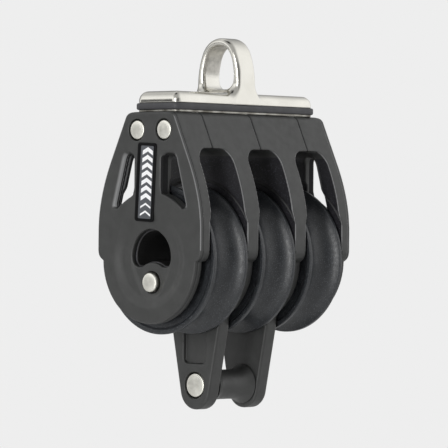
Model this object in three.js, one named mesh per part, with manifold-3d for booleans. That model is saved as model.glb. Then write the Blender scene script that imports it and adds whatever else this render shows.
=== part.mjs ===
// Triple ball-bearing pulley block with a fixed stainless head eye and a rope becket.
// Millimetres, +Z up. The axle runs along Y, the near outer cheek faces -Y, and the
// origin is the crown of the head eye's hole, where a shackle carries the block.
import * as THREE from 'three';
import { mergeVertices } from 'three/addons/utils/BufferGeometryUtils.js';
import Module from 'manifold-3d';

const wasm = await Module();
wasm.setup();

// Heights below are measured from the axle; the whole assembly hangs from the eye's crown.
const EYE_CROWN = 43.1;

// Sheaves
const SHEAVE_RADIUS = 15;
const SHEAVE_WIDTH = 9.8;
const SHEAVE_PITCH = 14.2;
const RIM_WIDTH = 0.8;
const RIM_HEIGHT = 0.9;
const FLANK_STEP = 0.4;
const GROOVE_FLOOR_RADIUS = 12;
const BORE_RADIUS = 10.7;
const BORE_RIB_RADIUS = 10.2;
const BORE_RIB_HALF = 0.5;

// Ball bearings: two rows in each sheave
const HUB_RADIUS = 8.2;
const BALL_RADIUS = 1.15;
const BALLS_IN_ROW = 14;
const ROW_OFFSET = 2.7;
const CAGE_HALF_HEIGHT = 0.35;
const CAGE_HALF_WIDTH = 0.45;

// Cheeks
const CHEEK_FACE = 22.3;
const DISC_RADIUS = 12.9;
const DISC_BACK = 20.4;
const DISC_RELIEF_RADIUS = 13.1;
const SHOULDER = 14.34;
const SHOULDER_FOOT = 1.9;
const SHOULDER_TOP = 5.8;
const SHOULDER_DROP = 0.4;
const SHOULDER_BEND = 0.2;
const BODY_TOP = 29.4;
const BODY_TOP_HALF = 6.39;
const SIDE_BEND = new THREE.Vector2(14.34, 12.3);
const SIDE_END = new THREE.Vector2(10.9, 19.7);
const TOP_CORNER = new THREE.Vector2(6.9, 28.3);
const TOP_FLAT_HALF = 4.7;
const SLOT_HALF = 4.875;
const SLOT_TOP = 22.15;
const SLOT_CORNER = 3;
const WELL_HALF = 5.5;
const WELL_RADIUS = 15.9;
const WELL_MOUTH_RADIUS = 16.75;

// Windows beside the outer cheek's central strut, which sits a little to the -X side
const STRUT_RIGHT = 3.35;
const STRUT_LEFT = 4.6;
const WINDOW_TOP = 21;
const WINDOW_SHOULDER = 19.8;
const WINDOW_SHOULDER_X = 6.75;
const WINDOW_SIDE_END = new THREE.Vector2(9.25, 11);
const WINDOW_FLOOR_RADIUS = 13.5;
const WINDOW_FLOOR_END = 8.9;

// Lashing hole through cheeks and hubs
const OPENING_HALF = 5.3;
const OPENING_TOP = 6;
const OPENING_LOBE_X = 3.3;
const OPENING_LOBE_Z = -1.45;
const OPENING_BUMP_Z = -0.65;
const OPENING_WAIST_Z = 0.6;
const HUB_LIP = 0.3;
const DISH_RADIUS = 10.1;
const DISH_FLOOR_RADIUS = 7.5;
const DISH_DEPTH = 0.5;
const DISH_TILT = THREE.MathUtils.degToRad(1.9);
const TEARDROP_DEPTH = 0.8;
const TEARDROP_HALF = 5.5;
const TEARDROP_TOP = 0.4;
const TEARDROP_WAIST = new THREE.Vector2(4.7, -3);
const TEARDROP_TIP = new THREE.Vector2(2.8, -6.3);
const TEARDROP_FOOT = -7.6;

// Rivets
const HEAD_RIVET_X = 3.7;
const HEAD_RIVET_Z = 25.8;
const HUB_RIVET_Z = -4.6;
const RIVET_HEAD_RADIUS = 2;
const RIVET_SHANK_RADIUS = 1.5;
const RIVET_HEAD_LENGTH = 1.2;
const COUNTERBORE_DEPTH = 1.3;
const RIVET_BEVEL = 0.25;
const RIVET_HEAD_GAP = 0.2;
const FIT = 0.3;
const HUB_RIVET_HEAD = 1.8;

// Becket
const BECKET_Z = -25.4;
const LEG_IN = 5.5;
const LEG_OUT = 8.7;
const LEG_TOP = -8;
const LEG_KNEE = new THREE.Vector2(6.6, -13.5);
const LEG_END = new THREE.Vector2(0, -26.3);
const LEG_END_RADIUS = 4;
const LEG_POCKET_DEPTH = 0.7;
const LEG_POCKET_HALF = 3.05;
const LEG_POCKET_TOP = -13.2;
const LEG_POCKET_FOOT = -21;
const LEG_POCKET_CORNER = 1.3;
const BECKET_HEAD_RADIUS = 2.5;
const BECKET_SHANK_RADIUS = 1.9;
const SPOOL_MIDDLE_RADIUS = 3;
const SPOOL_FLANGE_RADIUS = 4.05;
const SPOOL_FLARE_POWER = 4;
const SPOOL_HALF = 5.2;
const SPOOL_BORE = 2.75;
const SLEEVE_RADIUS = 2.45;
const SLEEVE_BORE = 2.1;

// Head
const SHIM_TOP = 29.85;
const PAD_TOP = 31.2;
const PLATE_TOP = 33.6;
const PLATE_HALF_X = 5.7;
const PLATE_HALF_Y = 20.4;
const PLATE_CORNER = 1.5;
const PAD_HALF_X = 6;
const PAD_HALF_Y = 20.8;
const EYE_DEPTH = 5.4;
const EYE_TOP = 44.9;
const EYE_FOOT_HALF = 6;
const EYE_WAIST_Z = 35.6;
const EYE_SHOULDER = new THREE.Vector2(4.55, 42.2);
const EYE_HOLE_FLOOR = 34.5;
const EYE_HOLE_FLOOR_HALF = 2.2;
const EYE_HOLE_HALF = 3.75;
const EYE_HOLE_WIDEST_Z = 38.6;
const LUG_HALF_THICKNESS = 1.2;
const LUG_HALF_WIDTH = 4.9;
const LUG_FOOT = 23.4;

// Label
const LABEL_HALF = 2.55;
const LABEL_LOW = 7.5;
const LABEL_HIGH = 23.2;
const LABEL_SHIFT = -0.85;
const LABEL_TILT = THREE.MathUtils.degToRad(-3);
const LABEL_THICKNESS = 0.3;
const LABEL_CORNER = 0.6;

const ROUND = 32;
const WELL_ROUND = 40;
const SMALL_ROUND = 18;

const material = (name, color, roughness, metalness) => new THREE.MeshStandardMaterial({
  name, color, roughness, metalness,
});
const composite = material('black_composite', 0x4a4b4a, 0.6, 0);
const sheaveComposite = material('sheave_composite', 0x3b3d3f, 0.5, 0);
const acetal = material('acetal', 0xe6e4dc, 0.35, 0);
const polished = material('polished_stainless', 0xd8d3cb, 0.16, 1);
const rivetSteel = material('rivet_stainless', 0xc9c7c0, 0.34, 1);
const padPlastic = material('pad_plastic', 0x3f4042, 0.55, 0);
const labelFilm = material('label_film', 0x6d7074, 0.4, 0);

// --- solids ---------------------------------------------------------------------------

function toSolid(geometry) {
  const bare = geometry.clone();
  bare.deleteAttribute('normal');
  bare.deleteAttribute('uv');
  const merged = mergeVertices(bare, 1e-4);
  return new wasm.Manifold(new wasm.Mesh({
    numProp: 3,
    vertProperties: new Float32Array(merged.attributes.position.array),
    triVerts: new Uint32Array(merged.index.array),
  }));
}

function toGeometry(solid) {
  const mesh = solid.getMesh();
  const geometry = new THREE.BufferGeometry();
  geometry.setAttribute('position', new THREE.BufferAttribute(new Float32Array(mesh.vertProperties), 3));
  geometry.setIndex(new THREE.BufferAttribute(new Uint32Array(mesh.triVerts), 1));
  geometry.computeVertexNormals();
  return geometry;
}

// A flat outline drawn in X and Z, thick from y0 to y1.
function plate(shape, y0, y1, curveSegments = 5) {
  const geometry = new THREE.ExtrudeGeometry(shape, { depth: y1 - y0, bevelEnabled: false, curveSegments });
  geometry.rotateX(Math.PI / 2);
  geometry.translate(0, y1, 0);
  return toSolid(geometry);
}

// A section drawn in Y and Z, long from -half to half along X.
function barAlongX(shape, half, curveSegments = 3) {
  const geometry = new THREE.ExtrudeGeometry(shape, { depth: 2 * half, bevelEnabled: false, curveSegments });
  geometry.translate(0, 0, -half);
  const turn = new THREE.Matrix4().makeBasis(
    new THREE.Vector3(0, 1, 0), new THREE.Vector3(0, 0, 1), new THREE.Vector3(1, 0, 0));
  geometry.applyMatrix4(turn);
  return toSolid(geometry);
}

// A flat outline drawn in X and Y, thick from z0 to z1.
function slab(shape, z0, z1) {
  const depth = z1 - z0;
  const geometry = new THREE.ExtrudeGeometry(shape, { depth, bevelEnabled: false, curveSegments: 2 });
  geometry.translate(0, 0, z0);
  return toSolid(geometry);
}

// Radius and Y pairs turned about the Y axis; the profile closes on itself.
function turned(profile, segments = ROUND) {
  const points = profile.map(([radius, y]) => new THREE.Vector2(radius, y));
  points.push(points[0].clone());
  return toSolid(new THREE.LatheGeometry(points, segments));
}

function rod(radius, y0, y1, x, z, segments = SMALL_ROUND) {
  const geometry = new THREE.CylinderGeometry(radius, radius, y1 - y0, segments);
  geometry.translate(x, (y0 + y1) / 2, z);
  return toSolid(geometry);
}

function block(x0, x1, y0, y1, z0, z1) {
  const geometry = new THREE.BoxGeometry(x1 - x0, y1 - y0, z1 - z0);
  geometry.translate((x0 + x1) / 2, (y0 + y1) / 2, (z0 + z1) / 2);
  return toSolid(geometry);
}

const cutAll = (solid, cutters) => cutters.reduce((left, cutter) => left.subtract(cutter), solid);
const joinAll = (solids) => solids.reduce((left, next) => left.add(next));

function roundedRectangle(halfX, halfY, corner) {
  const shape = new THREE.Shape();
  shape.moveTo(-halfX + corner, -halfY);
  shape.lineTo(halfX - corner, -halfY);
  shape.absarc(halfX - corner, -halfY + corner, corner, -Math.PI / 2, 0, false);
  shape.absarc(halfX - corner, halfY - corner, corner, 0, Math.PI / 2, false);
  shape.absarc(-halfX + corner, halfY - corner, corner, Math.PI / 2, Math.PI, false);
  shape.absarc(-halfX + corner, -halfY + corner, corner, Math.PI, 1.5 * Math.PI, false);
  return shape;
}

// --- outlines in X and Z --------------------------------------------------------------

// The +X side of the body from foot to top, then the -X side back down.
function climbSide(shape) {
  shape.quadraticCurveTo(SHOULDER, SHOULDER_BEND, SHOULDER, SHOULDER_FOOT);
  shape.lineTo(SHOULDER, SHOULDER_TOP);
  shape.quadraticCurveTo(SIDE_BEND.x, SIDE_BEND.y, SIDE_END.x, SIDE_END.y);
  shape.lineTo(TOP_CORNER.x, TOP_CORNER.y);
  shape.quadraticCurveTo(BODY_TOP_HALF, BODY_TOP, TOP_FLAT_HALF, BODY_TOP);
}

function descendSide(shape) {
  shape.lineTo(-TOP_FLAT_HALF, BODY_TOP);
  shape.quadraticCurveTo(-BODY_TOP_HALF, BODY_TOP, -TOP_CORNER.x, TOP_CORNER.y);
  shape.lineTo(-SIDE_END.x, SIDE_END.y);
  shape.quadraticCurveTo(-SIDE_BEND.x, SIDE_BEND.y, -SHOULDER, SHOULDER_TOP);
  shape.lineTo(-SHOULDER, SHOULDER_FOOT);
  shape.quadraticCurveTo(-SHOULDER, SHOULDER_BEND, -DISC_RADIUS, -SHOULDER_DROP);
}

function cheekOutline() {
  const shape = new THREE.Shape();
  const start = Math.asin(SHOULDER_DROP / DISC_RADIUS);
  shape.absarc(0, 0, DISC_RADIUS, Math.PI + start, 2 * Math.PI - start, false);
  climbSide(shape);
  descendSide(shape);
  return shape;
}

// Straight sides that taper from the knee and run into the round end without a step.
function legOutline() {
  const shape = new THREE.Shape();
  const rise = LEG_KNEE.y - LEG_END.y;
  const reach = LEG_KNEE.distanceTo(LEG_END);
  const sweep = Math.acos(LEG_END_RADIUS / reach) - Math.atan2(rise, LEG_KNEE.x);
  shape.moveTo(-LEG_KNEE.x, LEG_TOP);
  shape.lineTo(-LEG_KNEE.x, LEG_KNEE.y);
  shape.absarc(LEG_END.x, LEG_END.y, LEG_END_RADIUS, Math.PI + sweep, 2 * Math.PI - sweep, false);
  shape.lineTo(LEG_KNEE.x, LEG_KNEE.y);
  shape.lineTo(LEG_KNEE.x, LEG_TOP);
  return shape;
}

// Window on the +X side (side = 1) or the -X side (side = -1) of the strut.
function windowOutline(side) {
  const shape = new THREE.Shape();
  const inner = side > 0 ? STRUT_RIGHT : STRUT_LEFT;
  const middle = (inner + WINDOW_SHOULDER_X) / 2;
  const floor = (x) => Math.sqrt(WINDOW_FLOOR_RADIUS ** 2 - x ** 2);
  const innerAngle = Math.atan2(floor(inner), inner);
  const outerAngle = Math.atan2(floor(WINDOW_FLOOR_END), WINDOW_FLOOR_END);
  const mirrored = (angle) => (side > 0 ? angle : Math.PI - angle);
  shape.moveTo(side * inner, floor(inner));
  shape.lineTo(side * inner, WINDOW_SHOULDER);
  shape.quadraticCurveTo(side * inner, WINDOW_TOP, side * middle, WINDOW_TOP);
  shape.quadraticCurveTo(side * (WINDOW_SHOULDER_X - 0.35), WINDOW_TOP,
    side * WINDOW_SHOULDER_X, WINDOW_SHOULDER);
  shape.lineTo(side * WINDOW_SIDE_END.x, WINDOW_SIDE_END.y);
  shape.quadraticCurveTo(side * (WINDOW_SIDE_END.x + 0.2), WINDOW_SIDE_END.y - 0.8,
    side * WINDOW_FLOOR_END, floor(WINDOW_FLOOR_END));
  shape.absarc(0, 0, WINDOW_FLOOR_RADIUS, mirrored(outerAngle), mirrored(innerAngle), side < 0);
  return shape;
}

// The lashing hole: a round top and a floor that rises over the hub rivet.
function openingOutline(shrink) {
  const half = OPENING_HALF - shrink;
  const top = OPENING_TOP - shrink;
  const lobe = OPENING_LOBE_Z + shrink;
  const bump = OPENING_BUMP_Z + shrink;
  const lobeX = OPENING_LOBE_X - 0.6;
  const arch = 0.585 * OPENING_HALF;
  const spring = 3.2;
  const shape = new THREE.Shape();
  shape.moveTo(0, bump);
  shape.quadraticCurveTo(1.6, bump, lobeX, lobe);
  shape.quadraticCurveTo(half, lobe - 0.5, half, OPENING_WAIST_Z);
  shape.bezierCurveTo(half, spring, arch, top, 0, top);
  shape.bezierCurveTo(-arch, top, -half, spring, -half, OPENING_WAIST_Z);
  shape.quadraticCurveTo(-half, lobe - 0.5, -lobeX, lobe);
  shape.quadraticCurveTo(-1.6, bump, 0, bump);
  return shape;
}

// Recess from the hole's shoulders down round the hub rivet.
function teardropOutline() {
  const half = TEARDROP_HALF;
  const waist = TEARDROP_WAIST;
  const tip = TEARDROP_TIP;
  const foot = TEARDROP_FOOT;
  const shape = new THREE.Shape();
  shape.moveTo(half, TEARDROP_TOP);
  shape.lineTo(-half, TEARDROP_TOP);
  shape.quadraticCurveTo(-half, waist.y + 1.4, -waist.x, waist.y);
  shape.lineTo(-tip.x, tip.y);
  shape.quadraticCurveTo(-tip.x + 0.8, foot, 0, foot);
  shape.quadraticCurveTo(tip.x - 0.8, foot, tip.x, tip.y);
  shape.lineTo(waist.x, waist.y);
  shape.quadraticCurveTo(half, waist.y + 1.4, half, TEARDROP_TOP);
  return shape;
}

function legPocketOutline() {
  const half = LEG_POCKET_HALF;
  const foot = LEG_POCKET_FOOT;
  const corner = LEG_POCKET_CORNER;
  const shape = new THREE.Shape();
  shape.moveTo(half, LEG_POCKET_TOP);
  shape.lineTo(-half, LEG_POCKET_TOP);
  shape.lineTo(-half, foot + corner);
  shape.quadraticCurveTo(-half, foot, -half + corner, foot);
  shape.lineTo(half - corner, foot);
  shape.quadraticCurveTo(half, foot, half, foot + corner);
  return shape;
}

function eyeOutline() {
  const shape = new THREE.Shape();
  const foot = PLATE_TOP - 1;
  const half = EYE_FOOT_HALF;
  const shoulder = EYE_SHOULDER;
  const bend = EYE_WAIST_Z + 2.8;
  const crown = EYE_TOP - 1.4;
  shape.moveTo(-half, foot);
  shape.lineTo(half, foot);
  shape.lineTo(half, EYE_WAIST_Z);
  shape.bezierCurveTo(half - 0.1, bend, shoulder.x + 0.9, shoulder.y - 2, shoulder.x, shoulder.y);
  shape.bezierCurveTo(shoulder.x - 0.7, crown, 2.4, EYE_TOP, 0, EYE_TOP);
  shape.bezierCurveTo(-2.4, EYE_TOP, -shoulder.x + 0.7, crown, -shoulder.x, shoulder.y);
  shape.bezierCurveTo(-shoulder.x - 0.9, shoulder.y - 2, -half + 0.1, bend, -half, EYE_WAIST_Z);
  shape.holes.push(eyeHole());
  return shape;
}

function eyeHole() {
  const hole = new THREE.Path();
  const floor = EYE_HOLE_FLOOR;
  const foot = EYE_HOLE_FLOOR_HALF;
  const half = EYE_HOLE_HALF;
  const widest = EYE_HOLE_WIDEST_Z;
  const belly = half + 0.4;
  const shoulder = half - 0.4;
  hole.moveTo(0, floor);
  hole.lineTo(-foot, floor);
  hole.bezierCurveTo(-half, floor, -belly, widest - 2, -half, widest);
  hole.bezierCurveTo(-shoulder, widest + 2.4, -2.6, EYE_CROWN, 0, EYE_CROWN);
  hole.bezierCurveTo(2.6, EYE_CROWN, shoulder, widest + 2.4, half, widest);
  hole.bezierCurveTo(belly, widest - 2, half, floor, foot, floor);
  return hole;
}

// --- cutters shared by the cheeks -----------------------------------------------------

// Rope slot over one sheave: straight sides and a round-cornered roof.
function ropeSlot(y) {
  const low = -20;
  const shape = new THREE.Shape();
  shape.moveTo(y - SLOT_HALF, low);
  shape.lineTo(y + SLOT_HALF, low);
  shape.lineTo(y + SLOT_HALF, SLOT_TOP - SLOT_CORNER);
  shape.absarc(y + SLOT_HALF - SLOT_CORNER, SLOT_TOP - SLOT_CORNER, SLOT_CORNER, 0, Math.PI / 2, false);
  shape.absarc(y - SLOT_HALF + SLOT_CORNER, SLOT_TOP - SLOT_CORNER, SLOT_CORNER, Math.PI / 2, Math.PI, false);
  return barAlongX(shape, 18);
}

// Round well that the sheave turns in, with a coned mouth that thins the bars beside it.
function sheaveWell(y) {
  const half = SLOT_HALF;
  return turned([
    [0, y - WELL_HALF], [WELL_RADIUS, y - WELL_HALF], [WELL_MOUTH_RADIUS, y - half],
    [WELL_MOUTH_RADIUS, y + half], [WELL_RADIUS, y + WELL_HALF], [0, y + WELL_HALF],
  ], WELL_ROUND);
}

const headRivetHoles = (y0, y1) => [-1, 1].map(
  (side) => rod(RIVET_SHANK_RADIUS + FIT, y0, y1, side * HEAD_RIVET_X, HEAD_RIVET_Z));

const hubRivetHole = (y0, y1) => rod(RIVET_SHANK_RADIUS + FIT, y0, y1, 0, HUB_RIVET_Z);

// Pocket across a seam for one lug of the head.
function lugPocket(y) {
  const half = LUG_HALF_THICKNESS + FIT;
  const width = LUG_HALF_WIDTH + FIT;
  return block(-width, width, y - half, y + half, LUG_FOOT - FIT, BODY_TOP + 5);
}

// --- cheeks ---------------------------------------------------------------------------

function outerCheek() {
  const seam = -SHEAVE_PITCH;
  const face = -CHEEK_FACE;
  const counterbore = (x, z, floor) => rod(RIVET_HEAD_RADIUS + RIVET_HEAD_GAP, face - 1, floor, x, z);
  const dish = turned([
    [0, -2], [DISH_RADIUS + 2, -2], [DISH_RADIUS, 0], [DISH_FLOOR_RADIUS, DISH_DEPTH], [0, DISH_DEPTH],
  ]).rotate(THREE.MathUtils.radToDeg(DISH_TILT), 0, 0).translate(0, face, 0);
  return cutAll(plate(cheekOutline(), face, seam), [
    ropeSlot(seam),
    sheaveWell(seam),
    turned([[0, -DISC_BACK], [DISC_RELIEF_RADIUS, -DISC_BACK], [DISC_RELIEF_RADIUS, seam], [0, seam]]),
    plate(windowOutline(1), face - 1, seam + 1),
    plate(windowOutline(-1), face - 1, seam + 1),
    plate(openingOutline(0), face - 1, seam),
    plate(teardropOutline(), face - 1, face + TEARDROP_DEPTH),
    dish,
    counterbore(HEAD_RIVET_X, HEAD_RIVET_Z, face + COUNTERBORE_DEPTH),
    counterbore(-HEAD_RIVET_X, HEAD_RIVET_Z, face + COUNTERBORE_DEPTH),
    counterbore(0, HUB_RIVET_Z, face + HUB_RIVET_HEAD),
    ...headRivetHoles(face - 1, seam + 1),
    hubRivetHole(face - 1, seam),
    lugPocket(seam),
  ]);
}

// Middle cheek with one becket leg; it reaches from the seam of one sheave to the next.
function middleCheek() {
  const nearSeam = -SHEAVE_PITCH;
  const middle = -SHEAVE_PITCH / 2;
  const body = cutAll(plate(cheekOutline(), nearSeam, 0), [
    ropeSlot(nearSeam), ropeSlot(0), sheaveWell(nearSeam), sheaveWell(0),
  ]);
  const leg = cutAll(plate(legOutline(), -LEG_OUT, -LEG_IN), [
    plate(legPocketOutline(), -LEG_OUT - 1, -LEG_OUT + LEG_POCKET_DEPTH),
    rod(BECKET_SHANK_RADIUS + FIT, -LEG_OUT - 1, -LEG_IN + 1, 0, BECKET_Z),
    rod(BECKET_HEAD_RADIUS + RIVET_HEAD_GAP, -LEG_OUT - 1, -LEG_OUT + COUNTERBORE_DEPTH, 0, BECKET_Z),
  ]);
  return cutAll(body.add(leg), [
    plate(openingOutline(0), middle - 3, middle + 3),
    hubRivetHole(middle - 3, middle + 3),
    ...headRivetHoles(nearSeam - 1, 1),
    lugPocket(nearSeam),
    lugPocket(0),
  ]);
}

// --- sheaves and bearings -------------------------------------------------------------

function sheave() {
  const half = SHEAVE_WIDTH / 2;
  const mouth = half - RIM_WIDTH;
  const depth = SHEAVE_RADIUS - GROOVE_FLOOR_RADIUS;
  const grooveRadius = (mouth ** 2 + depth ** 2) / (2 * depth);
  const centre = GROOVE_FLOOR_RADIUS + grooveRadius;
  const sweep = Math.asin(mouth / grooveRadius);
  const steps = 6;
  const groove = [];
  for (let step = 0; step <= steps; step += 1) {
    const angle = sweep - (2 * sweep * step) / steps;
    groove.push([centre - grooveRadius * Math.cos(angle), grooveRadius * Math.sin(angle)]);
  }
  const flank = half - FLANK_STEP;
  const rimFoot = SHEAVE_RADIUS - RIM_HEIGHT;
  return turned([
    [BORE_RADIUS, -flank], [rimFoot - 0.4, -flank], [rimFoot, -half],
    [SHEAVE_RADIUS, -half],
    ...groove.reverse(),
    [SHEAVE_RADIUS, half], [rimFoot, half], [rimFoot - 0.4, flank],
    [BORE_RADIUS, flank], [BORE_RADIUS, BORE_RIB_HALF], [BORE_RIB_RADIUS, BORE_RIB_HALF],
    [BORE_RIB_RADIUS, -BORE_RIB_HALF], [BORE_RADIUS, -BORE_RIB_HALF],
  ]);
}

// One row of balls held at even spacing by a flat cage ring.
function ballRow() {
  const pitchRadius = (BORE_RADIUS + HUB_RADIUS) / 2;
  const cage = turned([
    [pitchRadius - CAGE_HALF_HEIGHT, -CAGE_HALF_WIDTH], [pitchRadius + CAGE_HALF_HEIGHT, -CAGE_HALF_WIDTH],
    [pitchRadius + CAGE_HALF_HEIGHT, CAGE_HALF_WIDTH], [pitchRadius - CAGE_HALF_HEIGHT, CAGE_HALF_WIDTH],
  ], BALLS_IN_ROW);
  const balls = [];
  for (let ball = 0; ball < BALLS_IN_ROW; ball += 1) {
    const angle = (2 * Math.PI * ball) / BALLS_IN_ROW;
    const geometry = new THREE.SphereGeometry(BALL_RADIUS, 5, 3);
    geometry.translate(pitchRadius * Math.sin(angle), 0, pitchRadius * Math.cos(angle));
    balls.push(toSolid(geometry));
  }
  return cage.add(joinAll(balls));
}

// Hollow hub that the balls run on, with the lashing hole and the rivet hole through it.
function hub(y0, y1) {
  return cutAll(turned([[0, y0], [HUB_RADIUS, y0], [HUB_RADIUS, y1], [0, y1]]), [
    plate(openingOutline(HUB_LIP), y0 - 1, y1 + 1),
    hubRivetHole(y0 - 1, y1 + 1),
  ]);
}

// --- rivets ---------------------------------------------------------------------------

function rivet(halfLength, headRadius, shankRadius, headLength) {
  const shank = halfLength - headLength;
  return turned([
    [0, -halfLength], [headRadius - RIVET_BEVEL, -halfLength], [headRadius, -halfLength + RIVET_BEVEL],
    [headRadius, -shank], [shankRadius, -shank], [shankRadius, shank], [headRadius, shank],
    [headRadius, halfLength - RIVET_BEVEL], [headRadius - RIVET_BEVEL, halfLength], [0, halfLength],
  ], SMALL_ROUND);
}

// --- becket ---------------------------------------------------------------------------

function becketSpool() {
  const steps = 8;
  const outer = [];
  for (let step = 0; step <= steps; step += 1) {
    const along = (2 * step) / steps - 1;
    const rise = SPOOL_FLANGE_RADIUS - SPOOL_MIDDLE_RADIUS;
    outer.push([SPOOL_MIDDLE_RADIUS + rise * along ** SPOOL_FLARE_POWER, along * SPOOL_HALF]);
  }
  return turned([[SPOOL_BORE, -SPOOL_HALF], ...outer, [SPOOL_BORE, SPOOL_HALF]], 24);
}

function becketSleeve() {
  const half = LEG_IN;
  return turned([[SLEEVE_BORE, -half], [SLEEVE_RADIUS, -half], [SLEEVE_RADIUS, half], [SLEEVE_BORE, half]],
    SMALL_ROUND);
}

// --- head -----------------------------------------------------------------------------

const SEAMS = [-SHEAVE_PITCH, 0, SHEAVE_PITCH];

function headEye() {
  const base = slab(roundedRectangle(PLATE_HALF_X, PLATE_HALF_Y, PLATE_CORNER), PAD_TOP, PLATE_TOP);
  const bow = plate(eyeOutline(), -EYE_DEPTH / 2, EYE_DEPTH / 2);
  const lugs = SEAMS.map((y) => block(-LUG_HALF_WIDTH, LUG_HALF_WIDTH,
    y - LUG_HALF_THICKNESS, y + LUG_HALF_THICKNESS, LUG_FOOT, PAD_TOP + 0.5));
  const body = joinAll([base, bow, ...lugs]);
  return cutAll(body, headRivetHoles(-CHEEK_FACE, CHEEK_FACE));
}

function slottedSheet(halfX, halfY, corner, z0, z1) {
  const half = LUG_HALF_THICKNESS + FIT;
  const width = LUG_HALF_WIDTH + FIT;
  const slots = SEAMS.map((y) => block(-width, width, y - half, y + half, z0 - 1, z1 + 1));
  return cutAll(slab(roundedRectangle(halfX, halfY, corner), z0, z1), slots);
}

// --- label ----------------------------------------------------------------------------

function label() {
  const middle = (LABEL_LOW + LABEL_HIGH) / 2;
  const half = (LABEL_HIGH - LABEL_LOW) / 2;
  const outline = roundedRectangle(LABEL_HALF, half, LABEL_CORNER);
  return plate(outline, -CHEEK_FACE - LABEL_THICKNESS, -CHEEK_FACE, 2)
    .rotate(0, THREE.MathUtils.radToDeg(-LABEL_TILT), 0)
    .translate(LABEL_SHIFT, 0, middle);
}

// --- assembly -------------------------------------------------------------------------

const pulleyBlock = new THREE.Group();
const assembly = new THREE.Group();
assembly.position.z = -EYE_CROWN;
pulleyBlock.add(assembly);

function place(name, solid, finish, y = 0, z = 0, x = 0) {
  const mesh = new THREE.Mesh(toGeometry(solid), finish);
  mesh.name = name;
  mesh.position.set(x, y, z);
  assembly.add(mesh);
  return mesh;
}

const POSITIONS = ['near', 'middle', 'far'];
const BACK_SIDE = Math.PI;

place('cheek_outer_near', outerCheek(), composite);
place('cheek_outer_far', outerCheek(), composite).rotation.z = BACK_SIDE;
place('cheek_middle_near', middleCheek(), composite);
place('cheek_middle_far', middleCheek(), composite).rotation.z = BACK_SIDE;

place('head_eye', headEye(), polished);
place('head_pad', slottedSheet(PAD_HALF_X, PAD_HALF_Y, PLATE_CORNER, SHIM_TOP, PAD_TOP), padPlastic);
place('head_shim', slottedSheet(PLATE_HALF_X, PLATE_HALF_Y, PLATE_CORNER, BODY_TOP, SHIM_TOP), rivetSteel);

place('head_rivet_right', rivet(CHEEK_FACE, RIVET_HEAD_RADIUS, RIVET_SHANK_RADIUS, RIVET_HEAD_LENGTH),
  rivetSteel, 0, HEAD_RIVET_Z, HEAD_RIVET_X);
place('head_rivet_left', rivet(CHEEK_FACE, RIVET_HEAD_RADIUS, RIVET_SHANK_RADIUS, RIVET_HEAD_LENGTH),
  rivetSteel, 0, HEAD_RIVET_Z, -HEAD_RIVET_X);

place('hub_rivet', rivet(CHEEK_FACE, RIVET_HEAD_RADIUS, RIVET_SHANK_RADIUS, HUB_RIVET_HEAD),
  rivetSteel, 0, HUB_RIVET_Z);

POSITIONS.forEach((position, index) => {
  const y = SEAMS[index];
  const low = index === 0 ? -DISC_BACK : y - WELL_HALF;
  const high = index === 2 ? DISC_BACK : y + WELL_HALF;
  place(`hub_${position}`, hub(low, high), composite);
  place(`sheave_${position}`, sheave(), sheaveComposite, y);
  place(`ball_row_${position}_a`, ballRow(), acetal, y - ROW_OFFSET);
  place(`ball_row_${position}_b`, ballRow(), acetal, y + ROW_OFFSET);
});

place('becket_rivet', rivet(LEG_OUT, BECKET_HEAD_RADIUS, BECKET_SHANK_RADIUS, RIVET_HEAD_LENGTH),
  rivetSteel, 0, BECKET_Z);
place('becket_sleeve', becketSleeve(), rivetSteel, 0, BECKET_Z);
place('becket_spool', becketSpool(), composite, 0, BECKET_Z);

place('label_near', label(), labelFilm);
place('label_far', label(), labelFilm).rotation.z = BACK_SIDE;

export default pulleyBlock;
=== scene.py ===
import math

import bpy
import numpy as np
from mathutils import Matrix, Vector


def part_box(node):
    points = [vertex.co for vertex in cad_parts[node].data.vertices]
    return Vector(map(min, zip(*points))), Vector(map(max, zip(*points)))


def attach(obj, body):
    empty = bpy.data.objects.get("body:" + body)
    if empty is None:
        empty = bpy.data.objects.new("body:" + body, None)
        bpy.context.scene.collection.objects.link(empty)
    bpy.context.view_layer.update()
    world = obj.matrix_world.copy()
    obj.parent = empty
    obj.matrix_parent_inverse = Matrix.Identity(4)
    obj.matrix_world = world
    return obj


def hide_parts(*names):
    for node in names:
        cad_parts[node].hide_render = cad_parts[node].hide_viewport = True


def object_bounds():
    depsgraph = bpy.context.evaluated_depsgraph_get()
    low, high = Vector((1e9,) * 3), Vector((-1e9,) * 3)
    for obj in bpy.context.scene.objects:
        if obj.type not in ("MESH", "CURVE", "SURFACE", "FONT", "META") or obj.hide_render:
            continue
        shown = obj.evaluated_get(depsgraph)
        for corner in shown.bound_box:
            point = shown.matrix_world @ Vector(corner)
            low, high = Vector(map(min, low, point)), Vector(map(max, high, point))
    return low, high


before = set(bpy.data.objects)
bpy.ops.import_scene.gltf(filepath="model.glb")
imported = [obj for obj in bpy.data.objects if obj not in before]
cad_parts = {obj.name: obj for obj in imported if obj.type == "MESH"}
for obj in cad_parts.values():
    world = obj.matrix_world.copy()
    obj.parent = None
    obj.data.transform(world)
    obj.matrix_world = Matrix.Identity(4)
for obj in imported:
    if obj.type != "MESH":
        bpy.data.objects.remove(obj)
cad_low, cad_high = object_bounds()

MM = 0.001
STEP = 0.28
NEAR_TO_FAR = np.array([-1.0, -1.0, 1.0])

# --- sizes read from the frame ---

_low, _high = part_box("sheave_middle")
AXLE = np.array((_low + _high) / 2)


def cad_box(node):
    """Lowest and highest corner of a CAD node in millimetres from the axle."""
    low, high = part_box(node)
    return (np.array(low) - AXLE) / MM, (np.array(high) - AXLE) / MM


def cad_radius(node):
    """Half the height of a round CAD node."""
    low, high = cad_box(node)
    return (high[2] - low[2]) / 2


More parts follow.
